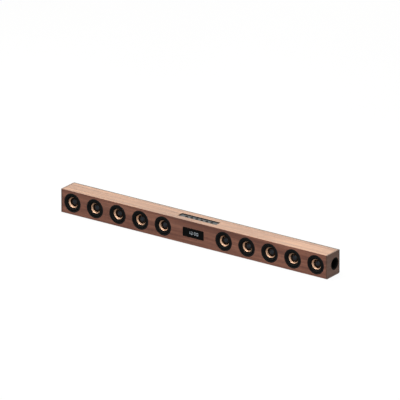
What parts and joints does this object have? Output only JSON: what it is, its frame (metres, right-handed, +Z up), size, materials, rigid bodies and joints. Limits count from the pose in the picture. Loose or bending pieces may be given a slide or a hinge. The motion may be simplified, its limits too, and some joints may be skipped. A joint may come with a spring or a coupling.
{
  "type": "soundbar",
  "caption": "Long wood-cased soundbar with a row of round drivers on each side of a small display, a key strip on top and a bass port in each end.",
  "frame": {"origin": "on the surface the bar stands on, under the middle of its overall box", "axes": "+X along the bar to the right end as seen from the front, the front faces -Y, +Z up"},
  "size_m": [0.9, 0.0616, 0.071],
  "materials": {
    "walnut": "satin walnut veneer, grain along the bar",
    "walnut_end": "satin walnut veneer, grain upright",
    "black_panel": "fine moulded texture",
    "raw_board": "raw fibreboard",
    "black_plastic": "satin moulded",
    "gold_cone": "satin anodised copper gold",
    "dark_cap": "satin dark blue grey",
    "black_rubber": "matte",
    "spider_cloth": "impregnated cloth",
    "steel": "zinc plated",
    "ferrite": "ceramic magnet",
    "window": "smoked acrylic, polished",
    "circuit_board": "solder mask",
    "tray_grey": "fine moulded texture",
    "key_black": "satin",
    "socket_black": "moulded",
    "wire": "insulated wire",
    "black_screw": "black oxide"
  },
  "bodies": {
    "root": {"front_baffle": "walnut", "top_board": "walnut", "bottom_board": "walnut", "rear_panel": "black_panel", "left_end_board": "walnut_end", "right_end_board": "walnut_end", "left_divider": "raw_board", "right_divider": "raw_board", "left_port_tube": "black_plastic", "right_port_tube": "black_plastic", "driver_frame_01": "black_plastic", "driver_frame_02": "black_plastic", "driver_frame_03": "black_plastic", "driver_frame_04": "black_plastic", "driver_frame_05": "black_plastic", "driver_frame_06": "black_plastic", "driver_frame_07": "black_plastic", "driver_frame_08": "black_plastic", "driver_frame_09": "black_plastic", "driver_frame_10": "black_plastic", "surrounds": "black_rubber", "spiders": "spider_cloth", "pole_plates": "steel", "magnet_rings": "ferrite", "display_window": "window", "display_module": "circuit_board", "key_tray": "tray_grey", "key_board": "circuit_board", "main_board": "circuit_board", "jack_plate": "black_panel", "sockets": "socket_black", "wire_harness": "wire", "feet": "black_rubber", "screws": "black_screw"},
    "cone_assembly_01": {"cone_01": "gold_cone", "dust_cap_01": "dark_cap"},
    "cone_assembly_02": {"cone_02": "gold_cone", "dust_cap_02": "dark_cap"},
    "cone_assembly_03": {"cone_03": "gold_cone", "dust_cap_03": "dark_cap"},
    "cone_assembly_04": {"cone_04": "gold_cone", "dust_cap_04": "dark_cap"},
    "cone_assembly_05": {"cone_05": "gold_cone", "dust_cap_05": "dark_cap"},
    "cone_assembly_06": {"cone_06": "gold_cone", "dust_cap_06": "dark_cap"},
    "cone_assembly_07": {"cone_07": "gold_cone", "dust_cap_07": "dark_cap"},
    "cone_assembly_08": {"cone_08": "gold_cone", "dust_cap_08": "dark_cap"},
    "cone_assembly_09": {"cone_09": "gold_cone", "dust_cap_09": "dark_cap"},
    "cone_assembly_10": {"cone_10": "gold_cone", "dust_cap_10": "dark_cap"},
    "key_power": {"key_power": "key_black"},
    "key_mode": {"key_mode": "key_black"},
    "key_previous": {"key_previous": "key_black"},
    "key_play": {"key_play": "key_black"},
    "key_next": {"key_next": "key_black"},
    "key_pairing": {"key_pairing": "key_black"}
  },
  "joints": [
    {"name": "cone_01_slide", "type": "slide", "parent": "root", "child": "cone_assembly_01", "axis": [0, 1, 0], "range_m": [-0.0015, 0.0015], "stiffness_N_per_m": 1500},
    {"name": "cone_02_slide", "type": "slide", "parent": "root", "child": "cone_assembly_02", "axis": [0, 1, 0], "range_m": [-0.0015, 0.0015], "stiffness_N_per_m": 1500},
    {"name": "cone_03_slide", "type": "slide", "parent": "root", "child": "cone_assembly_03", "axis": [0, 1, 0], "range_m": [-0.0015, 0.0015], "stiffness_N_per_m": 1500},
    {"name": "cone_04_slide", "type": "slide", "parent": "root", "child": "cone_assembly_04", "axis": [0, 1, 0], "range_m": [-0.0015, 0.0015], "stiffness_N_per_m": 1500},
    {"name": "cone_05_slide", "type": "slide", "parent": "root", "child": "cone_assembly_05", "axis": [0, 1, 0], "range_m": [-0.0015, 0.0015], "stiffness_N_per_m": 1500},
    {"name": "cone_06_slide", "type": "slide", "parent": "root", "child": "cone_assembly_06", "axis": [0, 1, 0], "range_m": [-0.0015, 0.0015], "stiffness_N_per_m": 1500},
    {"name": "cone_07_slide", "type": "slide", "parent": "root", "child": "cone_assembly_07", "axis": [0, 1, 0], "range_m": [-0.0015, 0.0015], "stiffness_N_per_m": 1500},
    {"name": "cone_08_slide", "type": "slide", "parent": "root", "child": "cone_assembly_08", "axis": [0, 1, 0], "range_m": [-0.0015, 0.0015], "stiffness_N_per_m": 1500},
    {"name": "cone_09_slide", "type": "slide", "parent": "root", "child": "cone_assembly_09", "axis": [0, 1, 0], "range_m": [-0.0015, 0.0015], "stiffness_N_per_m": 1500},
    {"name": "cone_10_slide", "type": "slide", "parent": "root", "child": "cone_assembly_10", "axis": [0, 1, 0], "range_m": [-0.0015, 0.0015], "stiffness_N_per_m": 1500},
    {"name": "key_power_press", "type": "slide", "parent": "root", "child": "key_power", "axis": [0, 0, -1], "range_m": [0, 0.0005], "stiffness_N_per_m": 400, "springref_m": -0.001},
    {"name": "key_mode_press", "type": "slide", "parent": "root", "child": "key_mode", "axis": [0, 0, -1], "range_m": [0, 0.0005], "stiffness_N_per_m": 400, "springref_m": -0.001},
    {"name": "key_previous_press", "type": "slide", "parent": "root", "child": "key_previous", "axis": [0, 0, -1], "range_m": [0, 0.0005], "stiffness_N_per_m": 400, "springref_m": -0.001},
    {"name": "key_play_press", "type": "slide", "parent": "root", "child": "key_play", "axis": [0, 0, -1], "range_m": [0, 0.0005], "stiffness_N_per_m": 400, "springref_m": -0.001},
    {"name": "key_next_press", "type": "slide", "parent": "root", "child": "key_next", "axis": [0, 0, -1], "range_m": [0, 0.0005], "stiffness_N_per_m": 400, "springref_m": -0.001},
    {"name": "key_pairing_press", "type": "slide", "parent": "root", "child": "key_pairing", "axis": [0, 0, -1], "range_m": [0, 0.0005], "stiffness_N_per_m": 400, "springref_m": -0.001}
  ]
}
